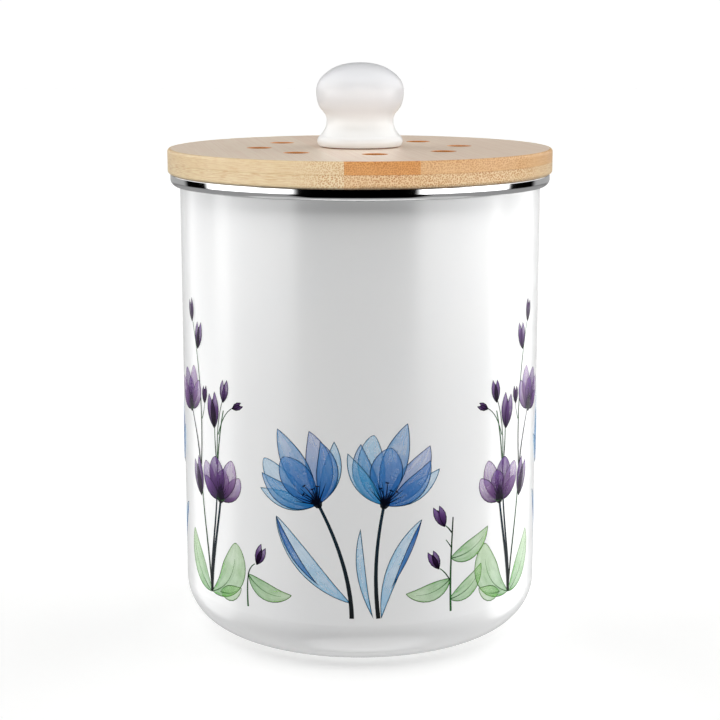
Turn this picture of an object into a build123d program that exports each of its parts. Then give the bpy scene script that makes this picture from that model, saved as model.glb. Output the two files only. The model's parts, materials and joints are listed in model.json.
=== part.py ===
from build123d import *
import os

# Vented enamel canister with a bamboo lid. Millimetres, +Z up, origin at the centre of the
# face that it stands on. Outlines of turned pieces are (radius, height) points.

# Enamelled can
BODY_R = 71.3            # outer radius of the wall
WALL = 0.9               # steel with enamel on both sides
CORNER_R = 18.0          # outer radius of the bottom corner
FOOT_IN_R = 45.0         # inner edge of the ring that the can stands on
BASE_RISE = 1.2          # how far the middle of the base is raised
RIM_TOP = 182.4          # top of the rim band, where the lid rests
LIP_R = 74.2             # edge of the flared lip inside the band
FLARE_R = 1.8            # outer radius of the bend into the lip

# Stainless rim band
BAND_R = 75.0
BAND_T = 0.5             # sheet thickness
BAND_ROUND = 0.6         # radius over the top edges
BAND_LIP = 1.6           # how far the inner lip reaches down into the mouth
BAND_SIDE_LOW = 180.1    # the straight side ends here and rolls under
BAND_ROLL_DROP = 2.2     # from there down to where the roll meets the wall
BAND_GAP = 0.05          # rolled edge to wall

# Bamboo lid
LID_R = 76.0
PLY = 4.8                # thickness of each of the two plies
LID_ROUND = 1.1          # round-over of the lid's outer edges
GLUE_BEVEL = 0.15        # bevel beside the glue line
VENTS = 8
VENT_R = 4.75
VENT_CIRCLE_R = 40.0
VENT_START = 8.0         # degrees from +X to the first vent
VENT_EDGE = 0.3
LID_LOW = RIM_TOP
LID_MID = LID_LOW + PLY
LID_TOP = LID_MID + PLY

# Bamboo plug ring under the lid
PLUG_R = 68.4
PLUG_IN_R = 52.0
PLUG_H = 10.0
PLUG_EDGE = 0.8
PLUG_LOW = LID_LOW - PLUG_H
GROOVE_R = 66.0
GROOVE_H = 5.6
GROOVE_LOW = PLUG_LOW + 2.4

# Silicone seal
SEAL_FIT = 0.1           # seal to groove
SEAL_WEB_R = 67.3
SEAL_TIP_R = BODY_R - WALL - 0.2
SEAL_FINS = 3
FIN_T = 0.8
FIN_PITCH = 2.1

# Filter pad
PAD_R = 51.6
PAD_CLEAR = 0.2
PAD_ROUND = 1.5

# Turn clips and their screws
CLIPS = 3
CLIP_START = 30.0        # degrees from +X to the first clip
CLIP_SCREW_R = 61.0      # screws' circle
CLIP_W = 10.0
CLIP_T = 1.0
CLIP_TAIL = 5.0          # screw centre to the round tail's end
CLIP_REACH = 16.0        # screw centre to the tip, inwards
CLIP_HOLE_R = 1.6
CLIP_GAP = 0.05          # clip to plug, and clip to screw head
SCREW_R = 1.5
SCREW_HEAD_R = 3.0
SCREW_HEAD_H = 1.4
SCREW_IN_WOOD = 8.0
CROSS_W = 0.7            # cross recess in screw heads
CROSS_SPAN = 0.62        # its length as a share of the head's diameter
CROSS_DEPTH = 0.6        # its depth as a share of the head's height

# Knob, with its gasket, insert, bolt and washer
GASKET_R = 15.0
GASKET_T = 0.4
KNOB_LOW = LID_TOP + GASKET_T
KNOB_H = 32.6
KNOB_R = 17.3
KNOB_WAIST_R = 13.2
KNOB_COLLAR_R = 16.9
INSERT_R = 4.5
INSERT_H = 14.0
BOLT_R = 2.4
BOLT_HOLE_R = 2.7
BOLT_LENGTH = 19.0
BOLT_HEAD_R = 4.6
BOLT_HEAD_H = 2.6
WASHER_R = 6.0
WASHER_T = 0.8
COUNTERBORE_R = 7.0
COUNTERBORE_H = 3.6


def turned(*edges):
    """Revolve a closed outline of (radius, height) edges about Z."""
    return revolve(Plane.XZ * make_face(list(edges)), Axis.Z)


def ring(inner, outer, low, high):
    """A plain ring or, with inner 0, a disc."""
    return turned(Polyline((inner, low), (outer, low), (outer, high), (inner, high), close=True))


def around(count, start, radius):
    """Evenly spaced places on a circle about Z, each with its X axis pointing outwards."""
    return [Rot(0, 0, start + i * 360 / count) * Pos(radius, 0, 0) for i in range(count)]


def rims(part, height, radius):
    """The part's circular edges of one radius at one height."""
    level = part.edges().filter_by(GeomType.CIRCLE).filter_by_position(
        Axis.Z, height - 0.01, height + 0.01)
    return [edge for edge in level if abs(edge.radius - radius) < 0.01]


def pan_head(head_r, head_h, seat):
    """A screw's round head hanging below its seat, with a cross recess in its lower face."""
    face = seat - head_h
    head = ring(0, head_r, face, seat)
    head = fillet(rims(head, face, head_r), head_h / 2)
    depth = head_h * CROSS_DEPTH
    span = 2 * head_r * CROSS_SPAN
    cross = Box(span, CROSS_W, depth) + Box(CROSS_W, span, depth)
    return head - Pos(0, 0, face + depth / 2) * cross


# ---- the can ----

def canister_shell():
    """Drawn can: raised base, rounded corner, straight wall and flared lip."""
    inner = BODY_R - WALL
    lip_top = RIM_TOP - BAND_T
    lip_low = lip_top - WALL
    points = [
        (0, BASE_RISE),
        (FOOT_IN_R, BASE_RISE),
        (FOOT_IN_R + 2 * BASE_RISE, 0),
        (BODY_R, 0),
        (BODY_R, lip_low),
        (LIP_R, lip_low),
        (LIP_R, lip_top),
        (inner, lip_top),
        (inner, WALL),
        (FOOT_IN_R + 2 * BASE_RISE, WALL),
        (FOOT_IN_R, BASE_RISE + WALL),
        (0, BASE_RISE + WALL),
    ]
    step, edge = BASE_RISE, WALL / 4
    radii = [
        step, step, CORNER_R, FLARE_R, edge, edge,
        FLARE_R + WALL, CORNER_R - WALL, step, step,
    ]
    return turned(FilletPolyline(*points, radius=radii), Line(points[-1], points[0]))


def band_path(inset):
    """One face of the band's sheet, from its inner lip over the top to its rolled edge."""
    inner = BODY_R - WALL + inset
    outer = BAND_R - inset
    top = RIM_TOP - inset
    round_r = BAND_ROUND - inset
    reach = BAND_R - BODY_R - BAND_GAP
    roll_r = (reach ** 2 + BAND_ROLL_DROP ** 2) / (2 * reach)
    turn = Vector(1, 0, 0).get_angle(Vector(roll_r - reach, -BAND_ROLL_DROP, 0))
    over = FilletPolyline(
        (inner, RIM_TOP - BAND_LIP), (inner, top), (outer, top), (outer, BAND_SIDE_LOW),
        radius=[round_r, round_r])
    roll = CenterArc((BAND_R - roll_r, BAND_SIDE_LOW), roll_r - inset, 0, -turn)
    return over, roll


def rim_band():
    """C-section trim ring over the lip."""
    over, roll = band_path(0)
    over_in, roll_in = band_path(BAND_T)
    return turned(
        over, roll, Line(roll @ 1, roll_in @ 1), roll_in, over_in, Line(over_in @ 0, over @ 0))


# ---- the lid ----

def drilled_disc(low, high):
    """One ply: a disc with its vents and the bolt's hole."""
    disc = ring(0, LID_R, low, high) - ring(0, BOLT_HOLE_R, low, high)
    for place in around(VENTS, VENT_START, VENT_CIRCLE_R):
        disc -= place * ring(0, VENT_R, low, high)
    return disc


def lid_upper_ply():
    ply = drilled_disc(LID_MID, LID_TOP)
    ply = chamfer(rims(ply, LID_TOP, VENT_R), VENT_EDGE)
    ply = fillet(rims(ply, LID_TOP, LID_R), LID_ROUND)
    return chamfer(rims(ply, LID_MID, LID_R), GLUE_BEVEL)


def lid_lower_ply():
    ply = drilled_disc(LID_LOW, LID_MID) - ring(0, COUNTERBORE_R, LID_LOW, LID_LOW + COUNTERBORE_H)
    ply = fillet(rims(ply, LID_LOW, LID_R), LID_ROUND)
    return chamfer(rims(ply, LID_MID, LID_R), GLUE_BEVEL)


def lid_plug():
    """Ring that centres the lid, with the seal's groove and the screws' pilot holes."""
    plug = ring(PLUG_IN_R, PLUG_R, PLUG_LOW, LID_LOW)
    plug = chamfer(rims(plug, PLUG_LOW, PLUG_R) + rims(plug, PLUG_LOW, PLUG_IN_R), PLUG_EDGE)
    plug -= ring(GROOVE_R, PLUG_R + 1, GROOVE_LOW, GROOVE_LOW + GROOVE_H)
    for place in around(CLIPS, CLIP_START, CLIP_SCREW_R):
        plug -= place * ring(0, SCREW_R, PLUG_LOW, PLUG_LOW + SCREW_IN_WOOD)
    return plug


def seal_ring():
    """Silicone web in the groove, with thin fins that meet the mouth."""
    low = GROOVE_LOW + SEAL_FIT
    high = GROOVE_LOW + GROOVE_H - SEAL_FIT
    middle = (low + high) / 2
    seal = ring(GROOVE_R + SEAL_FIT, SEAL_WEB_R, low, high)
    for i in range(SEAL_FINS):
        height = middle + (i - (SEAL_FINS - 1) / 2) * FIN_PITCH
        tip = FIN_T / 2
        seal += turned(
            Polyline((SEAL_WEB_R - tip, height - tip), (SEAL_TIP_R - tip / 2, height - tip / 2)),
            ThreePointArc(
                (SEAL_TIP_R - tip / 2, height - tip / 2), (SEAL_TIP_R, height),
                (SEAL_TIP_R - tip / 2, height + tip / 2)),
            Polyline((SEAL_TIP_R - tip / 2, height + tip / 2), (SEAL_WEB_R - tip, height + tip),
                     (SEAL_WEB_R - tip, height - tip)))
    return seal


def filter_pad():
    """Charcoal felt disc behind the vents."""
    low, high = PLUG_LOW + PAD_CLEAR, LID_LOW - PAD_CLEAR
    pad = ring(0, PAD_R, low, high)
    return fillet(rims(pad, low, PAD_R) + rims(pad, high, PAD_R), PAD_ROUND)


# ---- turn clips ----

def turn_clip(place):
    """Flat clip with round ends, pointing inwards from its screw."""
    high = PLUG_LOW - CLIP_GAP
    outline = SlotCenterToCenter(CLIP_REACH + CLIP_TAIL - CLIP_W, CLIP_W)
    plate = extrude(Pos((CLIP_TAIL - CLIP_REACH) / 2, 0, high - CLIP_T) * outline, CLIP_T)
    plate = chamfer(plate.edges().group_by(Axis.Z)[0], CLIP_T / 4)
    return place * (plate - ring(0, CLIP_HOLE_R, high - CLIP_T, high))


def clip_screw(place):
    """Pan-head wood screw, head down."""
    seat = PLUG_LOW - CLIP_T - 2 * CLIP_GAP
    head = pan_head(SCREW_HEAD_R, SCREW_HEAD_H, seat)
    return place * (head + ring(0, SCREW_R, seat, PLUG_LOW + SCREW_IN_WOOD))


# ---- knob ----

def knob():
    """Glazed knob: domed head, waist and round collar, hollowed for the insert."""
    head_z, waist_z, collar_z = 21.1, 10.0, 4.2
    down = (0, -1)
    top = Spline((0, KNOB_H), (13.6, 28.4), (KNOB_R, head_z), tangents=[(1, 0), down])
    under = Spline(
        (KNOB_R, head_z), (15.4, 14.4), (KNOB_WAIST_R, waist_z), tangents=[down, down])
    flare = Spline(
        (KNOB_WAIST_R, waist_z), (KNOB_COLLAR_R - 1.2, collar_z), tangents=[down, (0.7, -1)])
    collar = ThreePointArc(flare @ 1, (KNOB_COLLAR_R, 2.1), (KNOB_COLLAR_R - 1.0, 0))
    foot = Polyline(collar @ 1, (0, 0), (0, KNOB_H))
    solid = turned(top, under, flare, collar, foot) - ring(0, INSERT_R, 0, INSERT_H)
    return Pos(0, 0, KNOB_LOW) * solid


def knob_gasket():
    return ring(BOLT_HOLE_R, GASKET_R, LID_TOP, KNOB_LOW)


def knob_insert():
    """Brass insert with a row of grooves that the cement grips."""
    insert = ring(BOLT_R, INSERT_R, KNOB_LOW, KNOB_LOW + INSERT_H)
    grooves, groove_h = 4, 1.2
    for i in range(grooves):
        low = KNOB_LOW + (i + 0.75) * INSERT_H / grooves
        insert -= ring(INSERT_R - 0.5, INSERT_R + 0.5, low, low + groove_h)
    return insert


def knob_washer():
    high = LID_LOW + COUNTERBORE_H
    return ring(BOLT_R, WASHER_R, high - WASHER_T, high)


def knob_bolt():
    """Pan-head machine screw, head down in the counterbore."""
    seat = LID_LOW + COUNTERBORE_H - WASHER_T
    end = seat + BOLT_LENGTH
    shank = ring(0, BOLT_R, seat, end)
    shank = chamfer(rims(shank, end, BOLT_R), BOLT_R / 4)
    return pan_head(BOLT_HEAD_R, BOLT_HEAD_H, seat) + shank


def build():
    """All sub-parts by node name."""
    nodes = {
        "canister_shell": canister_shell(),
        "rim_band": rim_band(),
        "lid_upper_ply": lid_upper_ply(),
        "lid_lower_ply": lid_lower_ply(),
        "lid_plug": lid_plug(),
        "seal_ring": seal_ring(),
        "filter_pad": filter_pad(),
        "knob": knob(),
        "knob_gasket": knob_gasket(),
        "knob_insert": knob_insert(),
        "knob_washer": knob_washer(),
        "knob_bolt": knob_bolt(),
    }
    for i, place in enumerate(around(CLIPS, CLIP_START, CLIP_SCREW_R), 1):
        nodes[f"turn_clip_{i}"] = turn_clip(place)
        nodes[f"clip_screw_{i}"] = clip_screw(place)
    return nodes


os.makedirs("parts", exist_ok=True)
for name, solid in build().items():
    export_step(solid, f"parts/{name}.step")
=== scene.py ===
import json
import math
import random

import bpy
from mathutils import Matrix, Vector, noise


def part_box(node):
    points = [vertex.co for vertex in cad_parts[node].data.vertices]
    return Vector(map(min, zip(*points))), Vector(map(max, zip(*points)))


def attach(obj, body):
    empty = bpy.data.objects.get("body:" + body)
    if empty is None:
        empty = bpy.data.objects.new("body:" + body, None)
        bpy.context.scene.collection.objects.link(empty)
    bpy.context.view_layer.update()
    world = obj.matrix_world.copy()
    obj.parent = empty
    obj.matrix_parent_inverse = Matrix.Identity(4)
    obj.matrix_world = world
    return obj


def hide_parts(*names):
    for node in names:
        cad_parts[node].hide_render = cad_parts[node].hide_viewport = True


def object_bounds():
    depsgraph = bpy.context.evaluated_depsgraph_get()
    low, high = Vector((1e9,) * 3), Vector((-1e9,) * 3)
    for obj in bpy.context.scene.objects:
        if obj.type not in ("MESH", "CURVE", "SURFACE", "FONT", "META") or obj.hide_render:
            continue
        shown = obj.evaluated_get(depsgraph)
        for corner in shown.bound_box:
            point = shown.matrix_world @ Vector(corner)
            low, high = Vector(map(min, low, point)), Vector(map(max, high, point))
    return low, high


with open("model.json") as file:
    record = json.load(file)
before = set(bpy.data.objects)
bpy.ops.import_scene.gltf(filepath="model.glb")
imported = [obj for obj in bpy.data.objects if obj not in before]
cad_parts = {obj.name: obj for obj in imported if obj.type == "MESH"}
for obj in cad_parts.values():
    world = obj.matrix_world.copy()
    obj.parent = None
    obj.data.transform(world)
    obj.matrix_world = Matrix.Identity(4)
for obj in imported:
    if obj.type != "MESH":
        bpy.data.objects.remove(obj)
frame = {"nodes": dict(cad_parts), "record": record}
CAD_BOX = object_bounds()

MM = 0.001
SCENE = bpy.context.scene
HALFWAY = CAD_BOX[1].z / 2
# The wall's outer radius in millimetres
WALL = max(math.hypot(v.co.x, v.co.y) for v in frame["nodes"]["canister_shell"].data.vertices
           if v.co.z < HALFWAY) / MM


# ---- node trees ----

class Graph:
    """Short calls for a node tree. A value is a number, a tuple or another node's output."""

    def __init__(self, tree):
        self.tree = tree
        tree.nodes.clear()

    def add(self, kind, values=None, out=0, **settings):
        """Makes a node, sets or links its inputs, and returns one output."""
        node = self.tree.nodes.new(kind)
        for key, value in settings.items():
            setattr(node, key, value)
        for key, value in (values or {}).items():
            if isinstance(value, bpy.types.NodeSocket):
                self.tree.links.new(value, node.inputs[key])
            else:
                node.inputs[key].default_value = value
        return node.outputs[out] if node.outputs else None

    def math(self, operation, a, b=0.0, clamp=False):
        """One sum on one or two values."""
        return self.add("ShaderNodeMath", {0: a, 1: b}, operation=operation, use_clamp=clamp)

    def smooth(self, value, low, high, to_low=0.0, to_high=1.0):
        """Smoothstep of value from low to high."""
        values = {"Value": value, "From Min": low, "From Max": high,
                  "To Min": to_low, "To Max": to_high}
        return self.add("ShaderNodeMapRange", values, interpolation_type="SMOOTHSTEP")

    def linear(self, value, low, high, to_low=0.0, to_high=1.0):
        """A straight ramp of value from low to high, clamped."""
        values = {"Value": value, "From Min": low, "From Max": high,
                  "To Min": to_low, "To Max": to_high}
        return self.add("ShaderNodeMapRange", values)

    def mix(self, factor, a, b):
        """Mix of two colours."""
        values = {"Factor": factor, 6: a, 7: b}
        return self.add("ShaderNodeMix", values, out=2, data_type="RGBA")

    def noise(self, vector, scale, detail=2.0, roughness=0.5, distortion=0.0):
        """Fractal noise about 0.5."""
        values = {"Vector": vector, "Scale": scale, "Detail": detail,
                  "Roughness": roughness, "Distortion": distortion}
        return self.add("ShaderNodeTexNoise", values)

    def ramp(self, value, stops, interpolation="LINEAR"):
        """Colour ramp from (position, grey or colour) stops."""
        socket = self.add("ShaderNodeValToRGB", {"Fac": value})
        band = socket.node.color_ramp
        band.interpolation = interpolation
        while len(band.elements) < len(stops):
            band.elements.new(1.0)
        for element, (position, colour) in zip(band.elements, stops):
            element.position = position
            element.color = colour if isinstance(colour, tuple) else (colour,) * 3 + (1.0,)
        return socket

    def bump(self, height, distance):
        """A normal for relief of that depth, in metres."""
        values = {"Height": height, "Distance": distance, "Strength": 1.0}
        return self.add("ShaderNodeBump", values)


def srgb(red, green, blue):
    """An sRGB colour of 0 to 255 as linear RGBA."""
    def linear(value):
        value /= 255
        return value / 12.92 if value <= 0.04045 else ((value + 0.055) / 1.055) ** 2.4
    return (linear(red), linear(green), linear(blue), 1.0)


def material(name, shader_values):
    """A material with a Principled shader; returns it, its graph and the shader node."""
    made = bpy.data.materials.new(name)
    made.use_nodes = True
    graph = Graph(made.node_tree)
    surface = graph.add("ShaderNodeBsdfPrincipled", shader_values)
    graph.add("ShaderNodeOutputMaterial", {"Surface": surface})
    return made, graph, surface.node


def place_mm(graph):
    """The piece's own coordinates in millimetres."""
    place = graph.add("ShaderNodeTexCoord", out="Object")
    values = {0: place, "Scale": 1 / MM}
    return graph.add("ShaderNodeVectorMath", values, operation="SCALE")


# ---- camera, light and stage ----

CAMERA_BACK = 0.6777     # m from the can's axis
CAMERA_HIGH = 0.2389     # m above the floor
CAMERA_DOWN = 11.108     # degrees
LENS = 85.0              # mm


def make_camera():
    """Looks down a little at the can from its front."""
    camera = bpy.data.objects.new("camera", bpy.data.cameras.new("camera"))
    SCENE.collection.objects.link(camera)
    camera.data.lens = LENS
    camera.location = (0, -CAMERA_BACK, CAMERA_HIGH)
    camera.rotation_euler = (math.radians(90 - CAMERA_DOWN), 0, 0)
    SCENE.camera = camera


BEHIND = 400.0           # degrees, past straight behind, so that a soft edge never shows there
POLE = 100.0             # past straight up or down, for the same reason
# Studio panels seen from the object: azimuth from the camera's side towards +X, and
# elevation, both as (from, to) in degrees, then how bright. Panels that overlap add up.
# The front is left dark at the object's own height.
PANELS = [
    ((-102, -40), (-9, 5), 3.3),
    ((36, 98), (-9, 5), 3.8),
    ((-70, 70), (58, POLE), 2.05),
    ((-60, 60), (-POLE, -60), 0.4),
]
# Panels on both sides; the angle is the same to the left and the right.
SIDE_PANELS = [
    ((68, 148), (5, 60), 1.6),
    ((128, BEHIND), (-10, 5), 0.45),
    ((70, BEHIND), (60, POLE), 0.8),
    ((60, BEHIND), (-POLE, -55), 0.6),
    ((44, BEHIND), (-58, -12), 0.35),
]
SOFT_EDGE = 4.0          # degrees
BACKDROP = 1.02          # what the camera sees behind everything


def window(graph, value, low, high):
    """1 inside low to high, with soft edges; angles in degrees."""
    rise = graph.smooth(value, low - SOFT_EDGE, low + SOFT_EDGE)
    fall = graph.smooth(value, high - SOFT_EDGE, high + SOFT_EDGE, 1.0, 0.0)
    return graph.math("MULTIPLY", rise, fall)


def make_world():
    """A dark studio with soft panels for light, and a plain white one for the camera."""
    world = bpy.data.worlds.new("studio")
    SCENE.world = world
    world.use_nodes = True
    graph = Graph(world.node_tree)
    direction = graph.add("ShaderNodeTexCoord", out="Generated")
    split = graph.add("ShaderNodeSeparateXYZ", {"Vector": direction}).node.outputs
    towards = graph.math("MULTIPLY", split["Y"], -1.0)
    azimuth = graph.math("ARCTAN2", split["X"], towards)
    azimuth = graph.math("MULTIPLY", azimuth, math.degrees(1))
    elevation = graph.math("MULTIPLY", graph.math("ARCSINE", split["Z"]), math.degrees(1))
    either_side = graph.math("ABSOLUTE", azimuth)
    total = 0.0
    panels = [(azimuth, *panel) for panel in PANELS]
    panels += [(either_side, *panel) for panel in SIDE_PANELS]
    for angle, across, tall, level in panels:
        lit = graph.math("MULTIPLY", window(graph, angle, *across),
                         window(graph, elevation, *tall))
        total = graph.math("ADD", total, graph.math("MULTIPLY", lit, level))
    light = graph.add("ShaderNodeBackground", {"Color": total})
    seen = graph.add("ShaderNodeBackground", {"Color": (BACKDROP,) * 3 + (1.0,)})
    is_camera = graph.add("ShaderNodeLightPath", out="Is Camera Ray")
    surface = graph.add("ShaderNodeMixShader", {0: is_camera, 1: light, 2: seen})
    graph.add("ShaderNodeOutputWorld", {"Surface": surface})


# Wide soft lamps that only some pieces receive: power, azimuth from the camera's side towards
# +X, elevation and spread, in degrees.
FILL = (2.0, 0.0, -2.0, 70.0)
WALL_LAMPS = {
    "key": (3.0, 0.0, 73.0, 40.0),
    "below": (1.0, 12.0, -74.0, 50.0),
    "left": (0.72, -114.0, -12.0, 50.0),
    "right": (1.2, 117.0, -12.0, 50.0),
}


def soft_lamp(name, setting, pieces):
    """A lamp that only these pieces receive."""
    power, turn, high, spread = setting
    lamp = bpy.data.objects.new(name, bpy.data.lights.new(name, "SUN"))
    SCENE.collection.objects.link(lamp)
    lamp.data.energy = power
    lamp.data.angle = math.radians(spread)
    lamp.rotation_euler = (math.radians(90 - high), 0, math.radians(turn))
    lit = bpy.data.collections.new(f"{name}_lit")
    for piece in pieces:
        lit.objects.link(piece)
    lamp.light_linking.receiver_collection = lit


FLOOR_SIZE = 12.0        # m
FLOOR_GLOW = 0.25


def make_floor():
    """A plain pale floor that catches shadow. Only the camera sees it: the panels below stand
    for the light that it would throw back."""
    half = FLOOR_SIZE / 2
    mesh = bpy.data.meshes.new("floor")
    mesh.from_pydata([(-half, -half, 0), (half, -half, 0), (half, half, 0), (-half, half, 0)],
                     [], [(0, 1, 2, 3)])
    floor = bpy.data.objects.new("floor", mesh)
    SCENE.collection.objects.link(floor)
    looks = {"Base Color": srgb(245, 245, 244), "Roughness": 0.9,
             "Emission Color": (1, 1, 1, 1), "Emission Strength": FLOOR_GLOW}
    mesh.materials.append(material("floor", looks)[0])
    floor.visible_diffuse = False
    floor.visible_glossy = False
    floor.visible_shadow = False


# ---- materials ----

def enamel():
    """Glossy white vitreous enamel with a faint orange peel."""
    paint, graph, shader = material("white_enamel", {"IOR": 1.52, "Specular IOR Level": 0.85})
    place = place_mm(graph)
    tone = graph.noise(place, 0.05, 3.0)
    colour = graph.mix(tone, srgb(238, 239, 240), srgb(242, 242, 241))
    peel = graph.noise(place, 0.35, 1.0)
    graph.tree.links.new(colour, shader.inputs["Base Color"])
    gloss = graph.linear(graph.noise(place, 0.15, 2.0), 0.3, 0.7, 0.2, 0.25)
    graph.tree.links.new(gloss, shader.inputs["Roughness"])
    graph.tree.links.new(graph.bump(peel, 0.02 * MM), shader.inputs["Normal"])
    return paint


FOOT_LIGHT = (200.5, 207.0)     # mm above the floor, from the full painted light at the knob's foot to none


def glaze():
    """Clear-glazed white ceramic, painted whiter at the foot: a painted highlight."""
    paint, graph, shader = material("knob_glaze", {"Roughness": 0.3, "IOR": 1.5})
    place = place_mm(graph)
    tone = graph.noise(place, 0.12, 4.0)
    colour = graph.mix(tone, srgb(220, 221, 224), srgb(226, 226, 227))
    height = graph.add("ShaderNodeSeparateXYZ", {"Vector": place}).node.outputs["Z"]
    # The foot is painted whiter: painted light on the knob's foot.
    lit_foot = graph.smooth(height, *FOOT_LIGHT, 1.0, 0.0)
    colour = graph.mix(lit_foot, colour, srgb(244, 245, 244))
    graph.tree.links.new(colour, shader.inputs["Base Color"])
    wave = graph.noise(place, 0.25, 1.0)
    graph.tree.links.new(graph.bump(wave, 0.03 * MM), shader.inputs["Normal"])
    return paint


def polished_steel():
    """Mirror-polished sheet with faint lines round the rim."""
    paint, graph, shader = material("polished_steel", {"Metallic": 1.0})
    place = place_mm(graph)
    split = graph.add("ShaderNodeSeparateXYZ", {"Vector": place}).node.outputs
    lines = graph.noise(graph.add("ShaderNodeCombineXYZ", {"Z": split["Z"]}), 14.0, 3.0)
    smear = graph.noise(place, 0.2, 3.0)
    gloss = graph.linear(graph.math("ADD", lines, smear), 0.6, 1.4, 0.03, 0.09)
    graph.tree.links.new(gloss, shader.inputs["Roughness"])
    colour = graph.mix(smear, srgb(222, 223, 225), srgb(232, 232, 231))
    graph.tree.links.new(colour, shader.inputs["Base Color"])
    graph.tree.links.new(graph.bump(lines, 0.001 * MM), shader.inputs["Normal"])
    return paint


def brushed_metal(name, dark, light, roughness):
    """Turned or brushed metal with fine scratches."""
    paint, graph, shader = material(name, {"Metallic": 1.0, "Roughness": roughness})
    place = place_mm(graph)
    stretched = graph.add("ShaderNodeMapping", {"Vector": place, "Scale": (0.6, 8.0, 8.0)})
    scratch = graph.noise(stretched, 1.0, 4.0, 0.7)
    colour = graph.mix(scratch, dark, light)
    graph.tree.links.new(colour, shader.inputs["Base Color"])
    gloss = graph.linear(scratch, 0.3, 0.7, roughness * 0.7, roughness * 1.3)
    graph.tree.links.new(gloss, shader.inputs["Roughness"])
    graph.tree.links.new(graph.bump(scratch, 0.01 * MM), shader.inputs["Normal"])
    return paint


VENTS = 8
VENT_CIRCLE = 40.0       # mm
VENT_R = 4.75            # mm
VENT_START = 8.0         # degrees
FIBRE_TURN = 10.0        # degrees, the fibre's line from -Y towards +X
LID_ROUND = 1.1          # mm, over the lid's outer edges
STREAK_TURN = 14.0       # how finely the streaks are spaced round the rim
STREAK_RISE = 0.3        # mm between the streaks, going up
STREAKS_LEFT = (-40.0, -22.0)   # mm across the fibre, from streaks to dots
STREAKS_RIGHT = (48.0, 64.0)    # from dots to streaks
STRIP_SPAN = 200.0       # mm covered by the strips' tone ramp, centred on the axis
STRIP_EDGES = (-80.0, -50.0, -19.5, 8.3, 41.0, 71.0)    # mm across the fibre
# Pairs of colours that broad noise runs between
PALE_CULM = (srgb(235, 219, 184), srgb(224, 204, 162))
TAN_CULM = (srgb(221, 163, 98), srgb(207, 143, 78))
BUNDLE = (srgb(184, 118, 58), srgb(166, 92, 36))
# Darker orange-brown for the vent bores' walls: painted shade inside the holes
BORE_SHADE = (srgb(212, 136, 52), srgb(152, 86, 28))
# The paler, greyer colour that the flat faces are washed towards: a painted sheen
SHEEN_COLOUR = srgb(239, 224, 212)


def vent_distance(graph, place):
    """Millimetres from the axis of the nearest vent hole in the lid."""
    split = graph.add("ShaderNodeSeparateXYZ", {"Vector": place}).node.outputs
    pitch = 2 * math.pi / VENTS
    turn = graph.math("ARCTAN2", split["Y"], split["X"])
    turn = graph.math("SUBTRACT", turn, math.radians(VENT_START))
    offset = graph.math("WRAP", turn, -pitch / 2)
    offset.node.inputs[2].default_value = pitch / 2
    flat = graph.add("ShaderNodeCombineXYZ", {"X": split["X"], "Y": split["Y"]})
    reach = graph.add("ShaderNodeVectorMath", {0: flat}, out="Value", operation="LENGTH")
    nearby = {"X": graph.math("MULTIPLY", reach, graph.math("COSINE", offset)),
              "Y": graph.math("MULTIPLY", reach, graph.math("SINE", offset))}
    nearby = graph.add("ShaderNodeCombineXYZ", nearby)
    values = {0: nearby, 1: (VENT_CIRCLE, 0, 0)}
    return graph.add("ShaderNodeVectorMath", values, out="Value", operation="DISTANCE")


def stretched(graph, grain, length, width):
    """Coordinates for a noise about that many mm long along the fibre, and wide across it.
    grain is (across the fibre, along it, up), in millimetres."""
    across, along, up = grain
    values = {"X": graph.math("DIVIDE", across, width),
              "Y": graph.math("DIVIDE", along, length),
              "Z": graph.math("DIVIDE", up, width)}
    return graph.add("ShaderNodeCombineXYZ", values)


def flat_face(graph, grain, edge_r):
    """1 on the flat faces and 0 on the sides. edge_r is where a disc's face ends; without it,
    the surface's own tilt tells."""
    if edge_r:
        flat = graph.add("ShaderNodeCombineXYZ", {"X": grain[0], "Y": grain[1]})
        reach = graph.add("ShaderNodeVectorMath", {0: flat}, out="Value", operation="LENGTH")
        return graph.smooth(reach, edge_r - 0.4, edge_r + 0.2, 1.0, 0.0)
    normal = graph.add("ShaderNodeNewGeometry", out="Normal")
    tilt = graph.add("ShaderNodeSeparateXYZ", {"Vector": normal}).node.outputs["Z"]
    return graph.smooth(graph.math("ABSOLUTE", tilt), 0.3, 0.95)


def bundle_marks(graph, grain, pitch, face):
    """Where bundles of fibre show: dots on end grain, and streaks on the sides of the rim."""
    across, along, up = grain
    wander = graph.noise(stretched(graph, grain, 40, 6), 1.0, 1.0)
    cell = graph.add("ShaderNodeCombineXYZ", {"X": graph.math("DIVIDE", across, pitch),
                                              "Y": graph.math("DIVIDE", up, pitch)})
    cell = graph.add("ShaderNodeVectorMath", {0: cell, 1: graph.math("MULTIPLY", wander, 1.6)},
                     operation="ADD")
    dots = graph.add("ShaderNodeTexVoronoi", {"Vector": cell, "Scale": 1.0, "Randomness": 0.8},
                     out="Distance", voronoi_dimensions="2D")
    dots = graph.smooth(dots, 0.2, 0.5, 1.0, 0.0)
    round_rim = graph.math("ARCTAN2", across, graph.math("MULTIPLY", along, -1.0))
    values = {"X": graph.math("MULTIPLY", round_rim, STREAK_TURN),
              "Y": graph.math("DIVIDE", up, STREAK_RISE)}
    streaks = graph.noise(graph.add("ShaderNodeCombineXYZ", values), 1.0, 2.0, 0.6)
    streaks = graph.smooth(streaks, 0.42, 0.62)
    sideways = graph.math("MAXIMUM", graph.smooth(across, *STREAKS_LEFT, 1.0, 0.0),
                          graph.smooth(across, *STREAKS_RIGHT))
    sideways = graph.math("MULTIPLY", sideways, graph.math("SUBTRACT", 1.0, face))
    dots = graph.math("MULTIPLY", dots, graph.math("SUBTRACT", 1.0, sideways))
    streaks = graph.math("MULTIPLY", streaks, graph.math("MULTIPLY", sideways, 0.5))
    return graph.math("ADD", dots, streaks)


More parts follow.
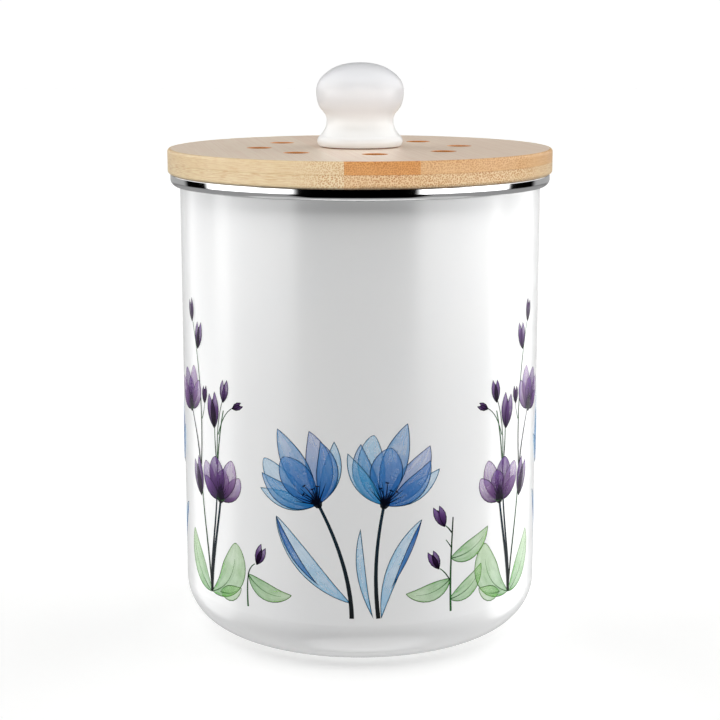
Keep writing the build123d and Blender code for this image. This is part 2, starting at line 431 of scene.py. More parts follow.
def bamboo(name, strips, pitch, contrast, low_z, high_z, edge_r=None):
    """Laminated bamboo: a solid texture, with bundles along the fibre that make dots on end
    grain, and streaks on the sides of the rim. strips is how dark each strip is, from each of
    STRIP_EDGES on, pitch is the mm between bundles, and edge_r is where a disc's face ends."""
    paint, graph, shader = material(name, {"IOR": 1.5, "Specular IOR Level": 0.3})
    place = place_mm(graph)
    turned = graph.add("ShaderNodeMapping",
                       {"Vector": place, "Rotation": (0, 0, -math.radians(FIBRE_TURN))})
    split = graph.add("ShaderNodeSeparateXYZ", {"Vector": turned}).node.outputs
    across, up = split["X"], split["Z"]
    grain = (across, split["Y"], up)
    face = flat_face(graph, grain, edge_r)

    stops = [(edge / STRIP_SPAN + 0.5, dark) for edge, dark in zip(STRIP_EDGES, strips)]
    position = graph.math("ADD", graph.math("DIVIDE", across, STRIP_SPAN), 0.5)
    strip = graph.ramp(position, stops, "CONSTANT")
    # The strips show weaker on the flat faces, as part of their painted sheen.
    strip = graph.math("MULTIPLY", strip, graph.linear(face, 0.0, 1.0, 1.0, 0.45))

    bundles = bundle_marks(graph, grain, pitch, face)
    skin = graph.smooth(up, low_z - 1.0, high_z, 0.75, 1.0)
    patchy = graph.noise(stretched(graph, grain, 60, 5), 1.0, 2.0)
    patchy = graph.linear(patchy, 0.3, 0.7, 0.6, 1.0)
    bundles = graph.math("MULTIPLY", graph.math("MULTIPLY", bundles, skin), patchy)
    bundles = graph.math("MULTIPLY", bundles, graph.linear(face, 0.0, 1.0, contrast, 0.5))

    broad = graph.noise(stretched(graph, grain, 90, 4), 1.0, 3.0, 0.6)
    ground = graph.mix(broad, *PALE_CULM)
    tan = graph.mix(broad, *TAN_CULM)
    ground = graph.mix(strip, ground, tan)
    fibre_tone = graph.mix(strip, *BUNDLE)
    colour = graph.mix(bundles, ground, fibre_tone)
    # The flat faces are painted paler and greyer: a painted sheen, standing for light glancing off
    # them.
    face_sheen = graph.math("MULTIPLY", face, 0.7)
    colour = graph.mix(face_sheen, colour, SHEEN_COLOUR)
    # The vent bores' walls are painted darker orange-brown: painted shade inside the holes.
    bore = graph.smooth(vent_distance(graph, place), VENT_R + 0.1, VENT_R + 0.45, 1.0, 0.0)
    shaded_bore = graph.mix(bundles, *BORE_SHADE)
    colour = graph.mix(bore, colour, shaded_bore)
    graph.tree.links.new(colour, shader.inputs["Base Color"])
    gloss = graph.linear(graph.math("ADD", bundles, broad), 0.3, 1.4, 0.36, 0.5)
    graph.tree.links.new(gloss, shader.inputs["Roughness"])
    relief = graph.math("ADD", graph.math("MULTIPLY", bundles, 0.6), broad)
    graph.tree.links.new(graph.bump(relief, 0.03 * MM), shader.inputs["Normal"])
    return paint


def rubbery(name, colour, roughness):
    """Moulded soft sheet with a fine satin grain."""
    paint, graph, shader = material(name, {"Roughness": roughness, "Subsurface Weight": 0.15,
                                           "Subsurface Scale": 1.5 * MM})
    place = place_mm(graph)
    tone = graph.noise(place, 0.4, 3.0)
    darker = tuple(c * 0.94 for c in colour[:3]) + (1.0,)
    graph.tree.links.new(graph.mix(tone, darker, colour), shader.inputs["Base Color"])
    grain = graph.noise(place, 6.0, 2.0)
    graph.tree.links.new(graph.bump(grain, 0.01 * MM), shader.inputs["Normal"])
    return paint


def felt():
    """Needled charcoal felt."""
    paint, graph, shader = material("charcoal_felt", {"Roughness": 0.95, "Sheen Weight": 0.3,
                                                      "Sheen Roughness": 0.6})
    place = place_mm(graph)
    fibres = graph.noise(place, 2.2, 5.0, 0.75, 2.5)
    grains = graph.noise(place, 0.5, 3.0)
    tone = graph.math("ADD", graph.math("MULTIPLY", fibres, 0.7),
                      graph.math("MULTIPLY", grains, 0.3))
    colour = graph.ramp(tone, [(0.35, srgb(22, 22, 24)), (0.55, srgb(44, 44, 46)),
                               (0.7, srgb(96, 96, 98))])
    graph.tree.links.new(colour, shader.inputs["Base Color"])
    graph.tree.links.new(graph.bump(fibres, 0.3 * MM), shader.inputs["Normal"])
    return paint


def dress_nodes():
    """Gives every CAD node its material."""
    steel = brushed_metal("clip_steel", srgb(176, 177, 180), srgb(208, 209, 211), 0.28)
    zinc = brushed_metal("zinc_steel", srgb(168, 172, 178), srgb(204, 207, 212), 0.25)
    brass = brushed_metal("brass", srgb(190, 150, 78), srgb(222, 186, 112), 0.25)
    low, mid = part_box("lid_lower_ply")[0].z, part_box("lid_upper_ply")[0].z
    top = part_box("lid_upper_ply")[1].z
    face_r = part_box("lid_upper_ply")[1].x / MM - LID_ROUND
    upper = bamboo("bamboo_upper", (0.14, 0.14, 1.0, 0.62, 0.6, 0.3), pitch=0.7, contrast=0.7,
                   low_z=mid / MM, high_z=top / MM, edge_r=face_r)
    lower = bamboo("bamboo_lower", (0.06, 0.08, 0.38, 0.3, 0.25, 0.2), pitch=0.74, contrast=0.95,
                   low_z=low / MM, high_z=mid / MM, edge_r=face_r)
    plug = bamboo("bamboo_plug", (0.2, 0.3, 0.15, 0.35, 0.2, 0.3), pitch=0.85, contrast=0.8,
                  low_z=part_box("lid_plug")[0].z / MM, high_z=low / MM)
    finish = {
        "canister_shell": enamel(), "rim_band": polished_steel(), "lid_upper_ply": upper,
        "lid_lower_ply": lower, "lid_plug": plug, "knob": glaze(),
        "seal_ring": rubbery("silicone", srgb(226, 226, 222), 0.4),
        # The gasket sheet's dark tan is painted shade along the knob's foot.
        "knob_gasket": rubbery("gasket_sheet", srgb(150, 92, 52), 0.6),
        "filter_pad": felt(), "knob_insert": brass, "knob_washer": zinc, "knob_bolt": zinc,
    }
    for name, node in frame["nodes"].items():
        paint = finish.get(name, steel)
        slots = node.data.materials
        if not slots:
            slots.append(paint)
        for i in range(len(slots)):
            slots[i] = paint
    return finish


# ---- turned and felted pieces ----

def revolved(name, profile, segments, paint, closed=False):
    """A piece of revolution about Z from (radius, height) points in millimetres."""
    points, rings, faces = [], [], []
    for radius, height in profile:
        count = segments if radius > 0 else 1
        rings.append(range(len(points), len(points) + count))
        for k in range(count):
            turn = 2 * math.pi * k / segments
            points.append((radius * math.cos(turn) * MM, radius * math.sin(turn) * MM,
                           height * MM))
    for a, b in zip(rings, rings[1:] + (rings[:1] if closed else [])):
        for k in range(segments):
            face = (a[k % len(a)], a[(k + 1) % len(a)], b[(k + 1) % len(b)], b[k % len(b)])
            faces.append(tuple(dict.fromkeys(face)))
    mesh = bpy.data.meshes.new(name)
    mesh.from_pydata(points, [], faces)
    mesh.materials.append(paint)
    mesh.shade_smooth()
    made = bpy.data.objects.new(name, mesh)
    SCENE.collection.objects.link(made)
    return made


def bend(middle, radius, start, end, steps):
    """Points on an arc, with its angles in degrees from straight out towards up."""
    turns = [math.radians(start + (end - start) * k / steps) for k in range(steps + 1)]
    return [(middle[0] + radius * math.cos(t), middle[1] + radius * math.sin(t)) for t in turns]


SHELL_SHEET = 0.9        # mm, the can's enamelled steel
SHEET = 0.5              # the band's steel
BAND_ROUND = 0.6         # over its top edges
BAND_LIP = 1.6           # down inside the mouth
BAND_SIDE = 2.3          # its straight side
BAND_GAP = 0.05          # between the rolled edge and the wall
BAND_SEGMENTS = 256


def band_piece(paint):
    """The trim ring again with even facets, so that its mirror finish reflects cleanly."""
    low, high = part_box("rim_band")
    out, top = high.x / MM, high.z / MM
    mouth = WALL - SHELL_SHEET
    drop, reach = top - BAND_SIDE, out - WALL - BAND_GAP
    roll = drop - low.z / MM
    turn = 180 - math.degrees(math.acos((reach - roll) / roll))

    def side(inset):
        """The sheet's line that far in from its outer skin, from inside the mouth outwards."""
        curl = BAND_ROUND - inset
        return [(mouth + inset, top - BAND_LIP),
                *bend((mouth + BAND_ROUND, top - BAND_ROUND), curl, 180, 90, 6),
                *bend((out - BAND_ROUND, top - BAND_ROUND), curl, 90, 0, 6),
                *bend((out - roll, drop), roll - inset, 0, -turn, 24)]

    profile = side(0) + side(SHEET)[::-1]
    made = revolved("band_sheet", profile[::-1], BAND_SEGMENTS, paint, closed=True)
    made.data.set_sharp_from_angle(angle=math.radians(50))
    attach(made, "canister")
    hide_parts("rim_band")
    return made


PAD_INSET = 0.3          # mm from the pad's solid to its felt, which leaves room for the fuzz
PAD_ROUND = 1.5
PAD_FACET = 0.75         # mm between rings
PAD_SEGMENTS = 340
PAD_DEPTH = 0.42         # the deepest hollow of the felt's surface
FIBRES = 1500
FIBRE_LENGTH = (2.5, 6.0)       # mm
FIBRE_RISE = (0.05, 0.2)        # mm over the felt
FIBRE_CURL = (-0.9, 0.9)        # sideways, as a share of the length
FIBRE_THICK = (0.04, 0.07)      # mm from its middle to a corner
FIBRE_STEPS = 5
BARE_RIM = 6.5           # mm of the flat face's edge where no fibre starts: the clips pass there
PAD_SEED = 11


def felt_depth(spot, middle_z):
    """How far the felt's surface sinks at a spot in millimetres: lumps, needle holes and,
    halfway up the edge, the line where its two layers meet."""
    lumps = noise.noise(spot * 0.16) * 0.5 + 0.5
    tufts = noise.noise(spot * 0.75) * 0.5 + 0.5
    hole = max(0.0, 1 - noise.voronoi(spot * 0.42)[0][0] * 2.6)
    seam = math.exp(-((spot.z - middle_z) / 0.35) ** 2)
    return PAD_DEPTH * min(1.0, 0.45 * lumps + 0.45 * tufts + 0.7 * hole ** 2 + 0.6 * seam)


def fibre(points, faces, start, heading, normal, rng):
    """One loose fibre that arches a little over the felt: a thin three-sided tube."""
    length, rise = rng.uniform(*FIBRE_LENGTH), rng.uniform(*FIBRE_RISE)
    curl, thick = rng.uniform(*FIBRE_CURL), rng.uniform(*FIBRE_THICK)
    side = normal.cross(heading)
    first = len(points)
    for k in range(FIBRE_STEPS + 1):
        t = k / FIBRE_STEPS
        middle = (start + heading * length * t + side * curl * length * t * t
                  + normal * (rise * math.sin(math.pi * t)))
        for corner in range(3):
            turn = 2 * math.pi * corner / 3
            points.append((middle + side * thick * math.cos(turn)
                           + normal * thick * math.sin(turn)) * MM)
    for k in range(FIBRE_STEPS):
        for corner in range(3):
            a, b = first + 3 * k + corner, first + 3 * k + (corner + 1) % 3
            faces.append((a, b, b + 3, a + 3))
    last = first + 3 * FIBRE_STEPS
    faces += [(first + 2, first + 1, first), (last, last + 1, last + 2)]


def pad_piece(paint):
    """The filter pad as needled felt: a lumpy die-cut disc with loose fibres."""
    low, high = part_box("filter_pad")
    radius, foot, top = (high.x / MM - PAD_INSET, low.z / MM + PAD_INSET, high.z / MM - PAD_INSET)
    flat = radius - PAD_ROUND
    rows = round(flat / PAD_FACET)
    reach = [flat * k / rows for k in range(rows)]
    rise = round((top - foot - 2 * PAD_ROUND) / PAD_FACET)
    sides = [foot + PAD_ROUND + (top - foot - 2 * PAD_ROUND) * k / rise for k in range(1, rise)]
    profile = ([(r, foot) for r in reach] + bend((flat, foot + PAD_ROUND), PAD_ROUND, -90, 0, 4)
               + [(radius, z) for z in sides] + bend((flat, top - PAD_ROUND), PAD_ROUND, 0, 90, 4)
               + [(r, top) for r in reach[::-1]])
    made = revolved("felt_pad", profile, PAD_SEGMENTS, paint)
    mesh = made.data
    middle_z = (foot + top) / 2
    points = [v.co - v.normal * felt_depth(v.co / MM, middle_z) * MM for v in mesh.vertices]
    faces = [tuple(face.vertices) for face in mesh.polygons]
    normals = [v.normal.copy() for v in mesh.vertices]
    rng = random.Random(PAD_SEED)
    skin = len(points)
    inner = flat - BARE_RIM

    def crowded(spot):
        """Whether a fibre there would be past the rim, or one too many near the middle."""
        return spot.xy.length / MM > inner or spot.xy.length / MM < rng.uniform(0, inner)

    for _ in range(FIBRES):
        at = rng.randrange(skin)
        while crowded(points[at]):
            at = rng.randrange(skin)
        normal = normals[at]
        turn = rng.uniform(0, 2 * math.pi)
        heading = Vector((math.cos(turn), math.sin(turn), 0))
        fibre(points, faces, points[at] / MM, heading, normal, rng)
    mesh.clear_geometry()
    mesh.from_pydata(points, [], faces)
    mesh.shade_smooth()
    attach(made, "lid")
    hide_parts("filter_pad")
    return made


# ---- the printed border ----
# A generic flower border, drawn in the wall's unrolled plane: (across, up) in millimetres,
# across from the middle of a repeat, up from the floor. Angles lean from straight up, + to +X.

LAYER = 0.02             # each layer of ink stands this much proud of the last
STEP = 1.3               # about the longest facet of a patch
REPEATS = 2
BORDER_FOOT = 21.0       # where the stems start
CLEAR_INK = 9.0          # an edge distance that draws no outline
INK_DEPTH = 1.1          # scales how strongly every ink covers
INK_FADE = 1.15          # how the base ink gives way to the tip's
LEAST_HALF = 0.05        # the half-width a patch never goes below


def ink(red, green, blue, strength):
    """A linear colour with how strongly it covers."""
    return srgb(red, green, blue)[:3] + (strength,)


PALE_BLUE = (ink(40, 135, 190, 0.58), ink(95, 172, 214, 0.36))
MID_BLUE = (ink(16, 92, 158, 0.74), ink(64, 142, 202, 0.44))
DEEP_BLUE = (ink(14, 80, 152, 0.76), ink(66, 130, 198, 0.48))
LILAC_BLUE = (ink(24, 90, 158, 0.72), ink(112, 136, 196, 0.42))
LEAF_BLUE = (ink(40, 156, 208, 0.48), ink(108, 180, 220, 0.34))
FOLD_BLUE = (ink(45, 115, 180, 0.62), ink(46, 96, 170, 0.76))
VIOLET = (ink(22, 4, 34, 0.98), ink(116, 74, 146, 0.62))
LILAC = (ink(38, 12, 56, 0.94), ink(158, 114, 176, 0.46))
PLUM = (ink(22, 6, 32, 0.96), ink(84, 48, 106, 0.84))
CORE = (ink(10, 2, 14, 0.97), ink(44, 16, 58, 0.55))
LEAF_GREEN = (ink(66, 160, 36, 0.56), ink(126, 184, 78, 0.40))
PALE_GREEN = (ink(96, 172, 64, 0.46), ink(140, 190, 100, 0.34))
STEM_DARK = (ink(6, 10, 12, 0.99), ink(8, 34, 48, 0.97))
STEM_GREEN = (ink(12, 18, 12, 0.98), ink(40, 92, 42, 0.93))
LINE_DARK = (ink(6, 8, 18, 0.96), ink(8, 16, 40, 0.85))
LINE_PLUM = (ink(12, 2, 18, 0.96), ink(40, 16, 56, 0.70))
LINE_GREEN = (ink(24, 60, 24, 0.88), ink(70, 130, 56, 0.60))


def along(path, t):
    """The point at t on the Bezier curve with those control points."""
    points = [Vector(p) for p in path]
    while len(points) > 1:
        points = [a.lerp(b, t) for a, b in zip(points, points[1:])]
    return points[0]


def swelling(widest, fullness):
    """A half-width profile from 0 at the base through 1 at widest to 0 at the tip."""
    power = math.log(0.5) / math.log(widest)
    return lambda t: math.sin(math.pi * min(max(t, 0.0), 1.0) ** power) ** fullness


def tapering(end):
    """A profile from 1 at the start to end at the far end."""
    return lambda t: 1 + (end - 1) * t


class Print:
    """Patches of ink that share one material, gathered to make one mesh on the wall."""

    def __init__(self, name, first_layer, layers):
        """Its patches take that many layers in turn, from first_layer out."""
        self.name, self.first, self.layers = name, first_layer, layers
        self.points, self.faces, self.inks, self.spots = [], [], [], []
        self.count = 0

    def blade(self, place, path, half, profile, inks, outlined=True):
        """A patch along a curve. half is its greatest half-width, and inks are (base, tip)."""
        radius = WALL + LAYER * (self.first + self.count % self.layers)
        self.count += 1
        length = sum((along(path, k / 8) - along(path, (k - 1) / 8)).length for k in range(1, 9))
        rows = max(4, math.ceil(length / STEP)) + 1
        columns = 2 * max(1, math.ceil(half / STEP)) + 1 if outlined else 2
        start = len(self.points)
        for i in range(rows):
            t = (1 - math.cos(math.pi * i / (rows - 1))) / 2
            ahead = along(path, min(t + 0.01, 1)) - along(path, max(t - 0.01, 0))
            side = Vector((ahead.y, -ahead.x)).normalized()
            width = max(half * profile(t), LEAST_HALF)
            colour = [a + (b - a) * t ** INK_FADE for a, b in zip(*inks)]
            for j in range(columns):
                across = 2 * j / (columns - 1) - 1
                spot = along(path, t) + side * across * width
                self.points.append(place.on_wall(spot, radius))
                self.inks.append(colour)
                edge = min(width * (1 - abs(across)), (1 - t) * length) if outlined else CLEAR_INK
                self.spots.append((t, across, edge))
        for i in range(rows - 1):
            for j in range(columns - 1):
                a = start + i * columns + j
                face = (a, a + 1, a + columns + 1, a + columns)
                self.faces.append(face if place.sign > 0 else face[::-1])

    def line(self, place, path, width, inks, end=0.5):
        """A plain line that narrows or widens to end times its width."""
        self.blade(place, path, width / 2, tapering(end), inks, outlined=False)

    def build(self, paint):
        """Makes the mesh of every patch drawn so far."""
        mesh = bpy.data.meshes.new(self.name)
        mesh.from_pydata(self.points, [], self.faces)
        colours = mesh.attributes.new("ink", "FLOAT_COLOR", "POINT")
        colours.data.foreach_set("color", [c for colour in self.inks for c in colour])
        spots = mesh.attributes.new("spot", "FLOAT_VECTOR", "POINT")
        spots.data.foreach_set("vector", [c for spot in self.spots for c in spot])
        mesh.materials.append(paint)
        mesh.shade_smooth()
        made = bpy.data.objects.new(self.name, mesh)
        SCENE.collection.objects.link(made)
        made.visible_shadow = False
        made.visible_diffuse = False
        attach(made, "canister")
        return made


leaves = Print("print_leaves", 1, 6)
stems = Print("print_stems", 7, 3)
petals = Print("print_petals", 10, 9)
details = Print("print_details", 19, 3)


class Place:
    """Where a group goes round the wall, and whether it is mirrored."""

    def __init__(self, turn, sign=1):
        """turn is in degrees towards +X, and sign is -1 for a mirrored group."""
        self.turn, self.sign = math.radians(turn), sign

    def on_wall(self, spot, radius):
        """The point in metres of a spot of the unrolled plane, rolled to that radius."""
        angle = self.turn + self.sign * spot[0] / WALL
        return (radius * math.sin(angle) * MM, -radius * math.cos(angle) * MM, spot[1] * MM)


def polar(start, angle, length):
    """The point at a length from start, at an angle from straight up, + to +X."""
    turn = math.radians(angle)
    return (start[0] + length * math.sin(turn), start[1] + length * math.cos(turn))


def petal(place, base, angle, length, half, bulge, inks, shape):
    """One petal. bulge throws its middle sideways, as a share of the length."""
    middle = polar(polar(base, angle, 0.5 * length), angle + 90, 2 * bulge * length)
    petals.blade(place, (base, middle, polar(base, angle, length)), half, shape, inks)


POINTED, ROUNDED = swelling(0.5, 0.85), swelling(0.56, 0.62)
# (angle from the head's axis, length, half-width, bulge, inks, shape), back to front
TULIP = [
    (-56, 24, 3.4, -0.07, PALE_BLUE, POINTED),
    (38, 25, 3.6, 0.08, PALE_BLUE, POINTED),
    (-30, 27, 5.0, -0.10, PALE_BLUE, ROUNDED),
    (17, 28, 5.2, 0.08, LILAC_BLUE, POINTED),
    (-6, 32, 5.0, -0.02, MID_BLUE, POINTED),
    (-42, 25, 4.2, -0.12, MID_BLUE, POINTED),
    (26, 24, 4.2, 0.13, DEEP_BLUE, POINTED),
    (-15, 22, 6.2, -0.03, DEEP_BLUE, ROUNDED),
]
CUP = [
    (-42, 15, 3.6, -0.10, LILAC, ROUNDED),
    (40, 17, 4.4, 0.10, LILAC, ROUNDED),
    (-18, 18, 4.2, -0.06, LILAC, ROUNDED),
    (14, 17, 5.0, 0.04, VIOLET, ROUNDED),
    (58, 13, 2.8, 0.06, VIOLET, ROUNDED),
    (-6, 12.5, 4.2, 0.0, VIOLET, ROUNDED),
]
BUD = [
    (-7, 1.0, 0.16, -0.04, VIOLET, POINTED),
    (8, 0.94, 0.16, 0.04, VIOLET, POINTED),
    (0, 0.8, 0.12, 0.0, CORE, POINTED),
]
STAMENS = [(-34, 6.5), (-14, 8.5), (4, 6.0), (22, 6.8)]
STAMEN_HEAD = 0.75


def tulip(place, base, lean):
    """An open tulip's head, with stamens and a dark throat."""
    for angle, length, half, bulge, inks, shape in TULIP:
        petal(place, base, lean + angle, length, half, bulge, inks, shape)
    for angle, length in STAMENS:
        tip = polar(base, lean + angle, length)
        knee = polar(base, lean + angle * 0.5, length * 0.6)
        details.line(place, (base, knee, tip), 0.55, LINE_DARK, 0.6)
        crossbar = [polar(tip, lean + angle + side, STAMEN_HEAD) for side in (-80, 80)]
        details.line(place, crossbar, 0.5, LINE_DARK, 1.0)
    for angle in (-62, -50, -38, -26, 12, 30, 44):
        details.line(place, (base, polar(base, lean + angle, 9.0)), 0.7, LINE_DARK, 0.15)
    details.blade(place, (polar(base, lean + 180, 1.6), polar(base, lean, 5.5)), 1.9,
                  swelling(0.35, 0.8), (STEM_DARK[0], ink(14, 20, 50, 0.35)), outlined=False)


def cup(place, base, lean, size=1.0):
    """A violet cup-shaped head, with dark veins and two sepals."""
    for angle, length, half, bulge, inks, shape in CUP:
        petal(place, base, lean + angle, length * size, half * size, bulge, inks, shape)
    for angle in (-42, -30, -17, -6, 6, 18, 32):
        tip = polar(base, lean + angle, (9 - abs(angle) * 0.1) * size)
        details.line(place, (base, tip), 0.7, LINE_PLUM, 0.4)
    details.blade(place, (polar(base, lean + 180, 1.4 * size), polar(base, lean, 6.5 * size)),
                  2.3 * size, swelling(0.35, 0.8), (STEM_DARK[0], ink(30, 8, 44, 0.5)),
                  outlined=False)
    for angle in (-70, 66):
        tip = polar(base, lean + angle, 3.2 * size)
        sepal = (base, polar(base, lean + angle * 1.4, 1.8 * size), tip)
        details.line(place, sepal, 0.4, LINE_GREEN)


def bud(place, base, lean, length, inks=None):
    """A closed bud of three narrow petals."""
    for angle, share, half, bulge, given, shape in BUD:
        petal(place, base, lean + angle, share * length, half * length, bulge, inks or given, shape)


def stem(place, path, width, inks=STEM_GREEN, end=0.6):
    """A stem along a curve, end times as wide at its far end."""
    stems.line(place, path, width, inks, end)


def leaf(place, base, tip, bow, half, inks=LEAF_GREEN, shape=None):
    """A leaf with a midrib. bow throws its middle sideways, as a share of the length."""
    start, end = Vector(base), Vector(tip)
    line = end - start
    middle = (start + end) / 2 + Vector((line.y, -line.x)) * 2 * bow
    path = (start, middle, end)
    leaves.blade(place, path, half, shape or swelling(0.45, 0.75), inks)
    rib = (start, start.lerp(middle, 0.8), along(path, 0.8))
    details.line(place, rib, 0.4, LINE_GREEN, 0.4)


def strap_leaf(place, base, tip, bow, half, side):
    """A long blue leaf with one edge folded over. side is -1 or 1."""
    start, end = Vector(base), Vector(tip)
    line = end - start
    middle = (start + end) / 2 + Vector((line.y, -line.x)) * 2 * bow
    path = (start, middle, end)
    leaves.blade(place, path, half, swelling(0.55, 0.7), LEAF_BLUE)
    shift = Vector((line.y, -line.x)).normalized() * side * half * 0.62
    fold = (along(path, 0.3) + shift * 0.8, along(path, 0.66) + shift * 1.5, end)
    leaves.blade(place, fold, half * 0.36, swelling(0.55, 0.8), FOLD_BLUE)


def tulip_pair(place):
    """The two tulips in the middle of a repeat, with their strap leaves."""
    left, right, foot = (-15.6, 65.0), (8.9, 65.0), BORDER_FOOT
    strap_leaf(place, (-3.6, foot + 6), (-32.5, 59), -0.07, 4.0, -1)
    strap_leaf(place, (8.0, foot), (23.5, 58.5), -0.07, 2.9, 1)
    leaves.blade(place, ((5.0, foot), (-1.5, 38), (0.2, 56)), 1.7, swelling(0.55, 0.8), LEAF_BLUE)
    stem(place, (left, (-7.5, 50), (-3.2, 34), (-3.1, foot)), 1.15, STEM_DARK[::-1], 1.5)
    stem(place, (right, (5.6, 48), (5.2, 36), (6.9, foot)), 1.1, STEM_DARK[::-1], 1.5)
    tulip(place, left, -24)
    tulip(place, right, 22)


def small_sprig(place):
    """A short stem with one bud and one leaf."""
    foot = BORDER_FOOT
    stem(place, ((0, foot), (-0.6, 29), (0.3, 34)), 0.85, STEM_GREEN[::-1])
    stem(place, ((0.3, 34), (1.2, 37.5), (3.6, 38.6)), 0.6)
    bud(place, (4.4, 38.4), 22, 9.0)
    leaf(place, (0.5, 34), (19.5, 28.5), 0.16, 3.6)


def tall_sprig(place):
    """A taller stem with two buds and three leaves."""
    foot = BORDER_FOOT
    stem(place, ((0, foot), (-0.7, 36), (0.2, 48), (0.6, 58)), 0.95, STEM_GREEN[::-1])
    stem(place, ((0.1, 46), (-1.5, 48.5), (-2.4, 49.5)), 0.5)
    stem(place, ((-0.3, 33), (-2.4, 37), (-5.0, 38.6)), 0.6)
    stem(place, ((0.1, 52), (-1.6, 54.4), (-2.6, 55)), 0.6)
    bud(place, (-3.0, 54.6), -24, 9.5)
    bud(place, (-5.3, 38.3), -26, 8.6)
    leaf(place, (-0.4, 34), (-18.5, 30), -0.14, 3.6)
    leaf(place, (0.0, 42), (18.0, 51.5), 0.13, 3.9)
    leaf(place, (-0.4, 26), (14.5, 37.5), 0.15, 3.7)


def tall_flowers(place):
    """The tall group, rooted at 0 and leaning away from the pair of tulips towards +X."""
    root, foot = (0.0, BORDER_FOOT + 1), BORDER_FOOT
    leaf(place, root, (-15.0, 45), -0.2, 6.4, LEAF_GREEN, swelling(0.58, 0.6))
    leaf(place, root, (15.5, 44), 0.13, 5.2, LEAF_GREEN, swelling(0.5, 0.7))
    leaf(place, (-6, foot + 2.5), (-18, foot + 6.5), -0.1, 3.2, PALE_GREEN)
    low_cup, high_cup = (-7.0, 60.5), (15.5, 92.5)
    stem(place, (root, (-0.5, 34), (-4.4, 46), (-7.1, 62)), 1.9, STEM_DARK, 0.6)
    stem(place, (root, (0.6, 36), (-3.2, 46), (-4.6, 63)), 1.6, STEM_DARK, 0.55)
    stem(place, ((-4.6, 62), (-4.6, 72), (-6.4, 86), (-9.4, 96)), 0.9)
    stem(place, ((-5.2, 76), (-4.6, 90), (-9.0, 100)), 0.6, STEM_GREEN[::-1])
    stem(place, ((-6.0, 86), (-9.5, 96), (-15.5, 98)), 0.5, STEM_GREEN[::-1])
    bud(place, (-3.7, 88), 6, 14.5)
    stem(place, ((-4.8, 74), (-3.6, 82), (-3.7, 89)), 0.8)
    bud(place, (-9.4, 99), -8, 9.5)
    bud(place, (-14.4, 97.4), -66, 6.0, PLUM)
    cup(place, low_cup, -4)
    stem(place, (root, (1.8, 40), (6.0, 52), (7.4, 70)), 1.25)
    bud(place, (7.2, 59), 16, 16)
    stem(place, ((7.4, 68), (8.4, 78), (11.0, 84), high_cup), 1.25, STEM_DARK)
    stem(place, ((7.5, 69), (4.6, 88), (6.5, 110), (13.0, 127)), 0.95)
    stem(place, ((5.9, 90), (3.5, 94), (3.4, 98)), 0.5, STEM_GREEN[::-1])
    bud(place, (3.4, 96.5), -4, 7.5, PLUM)
    cup(place, high_cup, 10, 0.98)
    bud(place, (8.6, 117), -10, 11.5)
    bud(place, (13.4, 127), 8, 9.5, PLUM)


def back_tulip(place):
    """One tulip alone, midway between the pairs."""
    foot = BORDER_FOOT
    strap_leaf(place, (-3.0, foot), (-19, 57), 0.08, 2.8, -1)
    strap_leaf(place, (2.6, foot), (20, 52), -0.08, 3.4, 1)
    stem(place, ((0, 65), (1.5, 50), (-1.6, 36), (0, foot)), 1.15, STEM_DARK[::-1], 1.5)
    tulip(place, (0, 65), 4)


WASH = (0.76, 1.2)       # how strong the ink is, from its thinnest wash to its thickest
OUTLINE = (0.18, 0.46)   # mm from a patch's edge, from full outline to none
OUTLINE_INK = 0.78       # how much more the outline covers
OUTLINE_BLACK = 0.86     # and how near it comes to black
INK_RIM = 2.2            # mm over which the ink gathers towards an edge
MOST_INK = 0.985
BLOOM = srgb(60, 165, 205)      # what the blues turn to where they run


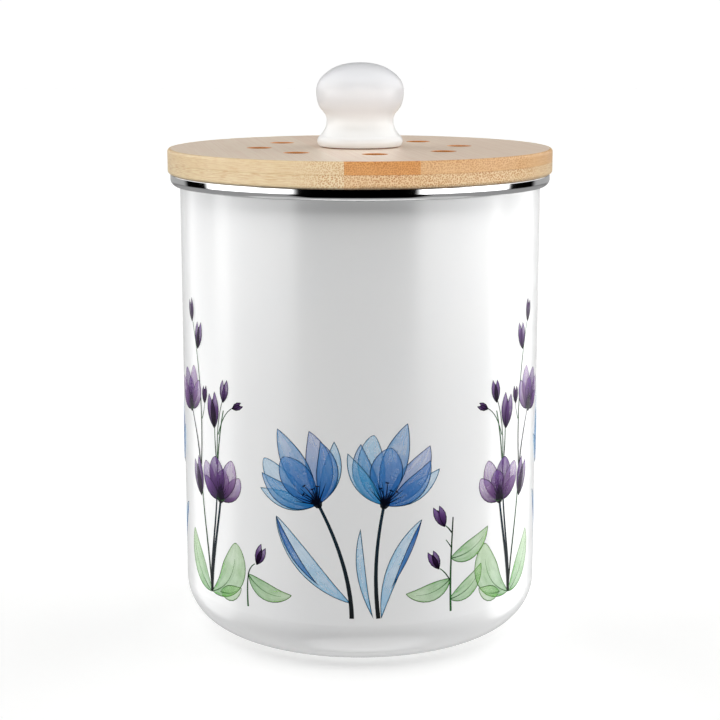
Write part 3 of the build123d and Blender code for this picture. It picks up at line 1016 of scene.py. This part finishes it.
def printed_ink():
    """Translucent ink fused into the enamel: watery washes with darker outlines."""
    paint, graph, shader = material("printed_ink", {"Roughness": 0.2, "IOR": 1.52,
                                                    "Specular IOR Level": 0.03})
    paint.surface_render_method = "BLENDED"
    given = graph.add("ShaderNodeAttribute", out="Color", attribute_name="ink")
    strength = given.node.outputs["Alpha"]
    spot = graph.add("ShaderNodeAttribute", out="Vector", attribute_name="spot")
    split = graph.add("ShaderNodeSeparateXYZ", {"Vector": spot}).node.outputs
    place = place_mm(graph)
    drift = graph.add("ShaderNodeSeparateXYZ", {"Vector": place}).node.outputs["X"]
    values = {"X": graph.math("MULTIPLY", split["Y"], 2.2), "Y": split["X"],
              "Z": graph.math("MULTIPLY", drift, 0.1)}
    streaks = graph.noise(graph.add("ShaderNodeCombineXYZ", values), 1.1, 2.0, 0.5)
    pools = graph.noise(place, 0.13, 3.0, 0.55, 0.4)
    paper = graph.noise(place, 1.3, 2.0, 0.5)
    wash = graph.math("ADD", graph.math("MULTIPLY", streaks, 0.45),
                      graph.math("MULTIPLY", pools, 0.55))
    wash = graph.linear(graph.math("ADD", wash, graph.math("MULTIPLY", paper, 0.07)),
                        0.40, 0.68, *WASH)
    is_line = graph.smooth(split["Z"], 0.5 * CLEAR_INK, 0.6 * CLEAR_INK)
    wash = graph.math("MAXIMUM", wash, is_line)
    outline = graph.smooth(split["Z"], *OUTLINE, 1.0, 0.0)
    rim = graph.smooth(split["Z"], 0.0, INK_RIM, 1.0, 0.0)
    dense = graph.math("ADD", wash, graph.math("MULTIPLY", rim, 0.16))
    alpha = graph.math("MULTIPLY", graph.math("MULTIPLY", strength, INK_DEPTH), dense)
    alpha = graph.math("ADD", alpha, graph.math("MULTIPLY", outline, OUTLINE_INK), clamp=True)
    alpha = graph.math("MINIMUM", alpha, MOST_INK)
    dark = graph.mix(OUTLINE_BLACK, given, (0, 0, 0, 1))
    parts = graph.add("ShaderNodeSeparateColor", {"Color": given}).node.outputs
    bluish = graph.smooth(graph.math("SUBTRACT", parts["Blue"], parts["Green"]), 0.0, 0.2)
    bluish = graph.math("MULTIPLY", bluish, graph.smooth(streaks, 0.42, 0.66, 0.0, 0.16))
    watery = graph.mix(bluish, given, BLOOM)
    watery = graph.mix(graph.math("MAXIMUM", is_line, graph.smooth(strength, 0.5, 0.8)),
                       watery, given)
    shade = graph.mix(outline, watery, dark)
    graph.tree.links.new(shade, shader.inputs["Base Color"])
    graph.tree.links.new(alpha, shader.inputs["Alpha"])
    return paint


# Where the groups stand, in degrees round the wall from a pair of tulips
SPRIG_TURN = 28.8
SPRIG_EXTRA = 8          # the small sprig stands this much further off
TALL_TURN = 54.0


def print_border():
    """Draws every repeat of the border and makes its meshes."""
    repeat = 360 / REPEATS
    for k in range(REPEATS):
        turn = k * repeat
        tulip_pair(Place(turn))
        tall_sprig(Place(turn + SPRIG_TURN))
        small_sprig(Place(turn - SPRIG_TURN - SPRIG_EXTRA))
        tall_flowers(Place(turn + TALL_TURN))
        tall_flowers(Place(turn - TALL_TURN, -1))
        back_tulip(Place(turn + repeat / 2))
    paint = printed_ink()
    return [each.build(paint) for each in (leaves, stems, petals, details)]


make_camera()
make_world()
make_floor()
finish = dress_nodes()
band_piece(finish["rim_band"])
pad = pad_piece(finish["filter_pad"])
lid = [frame["nodes"][name] for name in frame["record"]["behaviour"]["bodies"]["lid"]]
wall = [frame["nodes"]["canister_shell"], *print_border()]
soft_lamp("fill", FILL, [pad, *lid])
for name, setting in WALL_LAMPS.items():
    soft_lamp(name, setting, wall)

SCENE.view_settings.view_transform = "Standard"
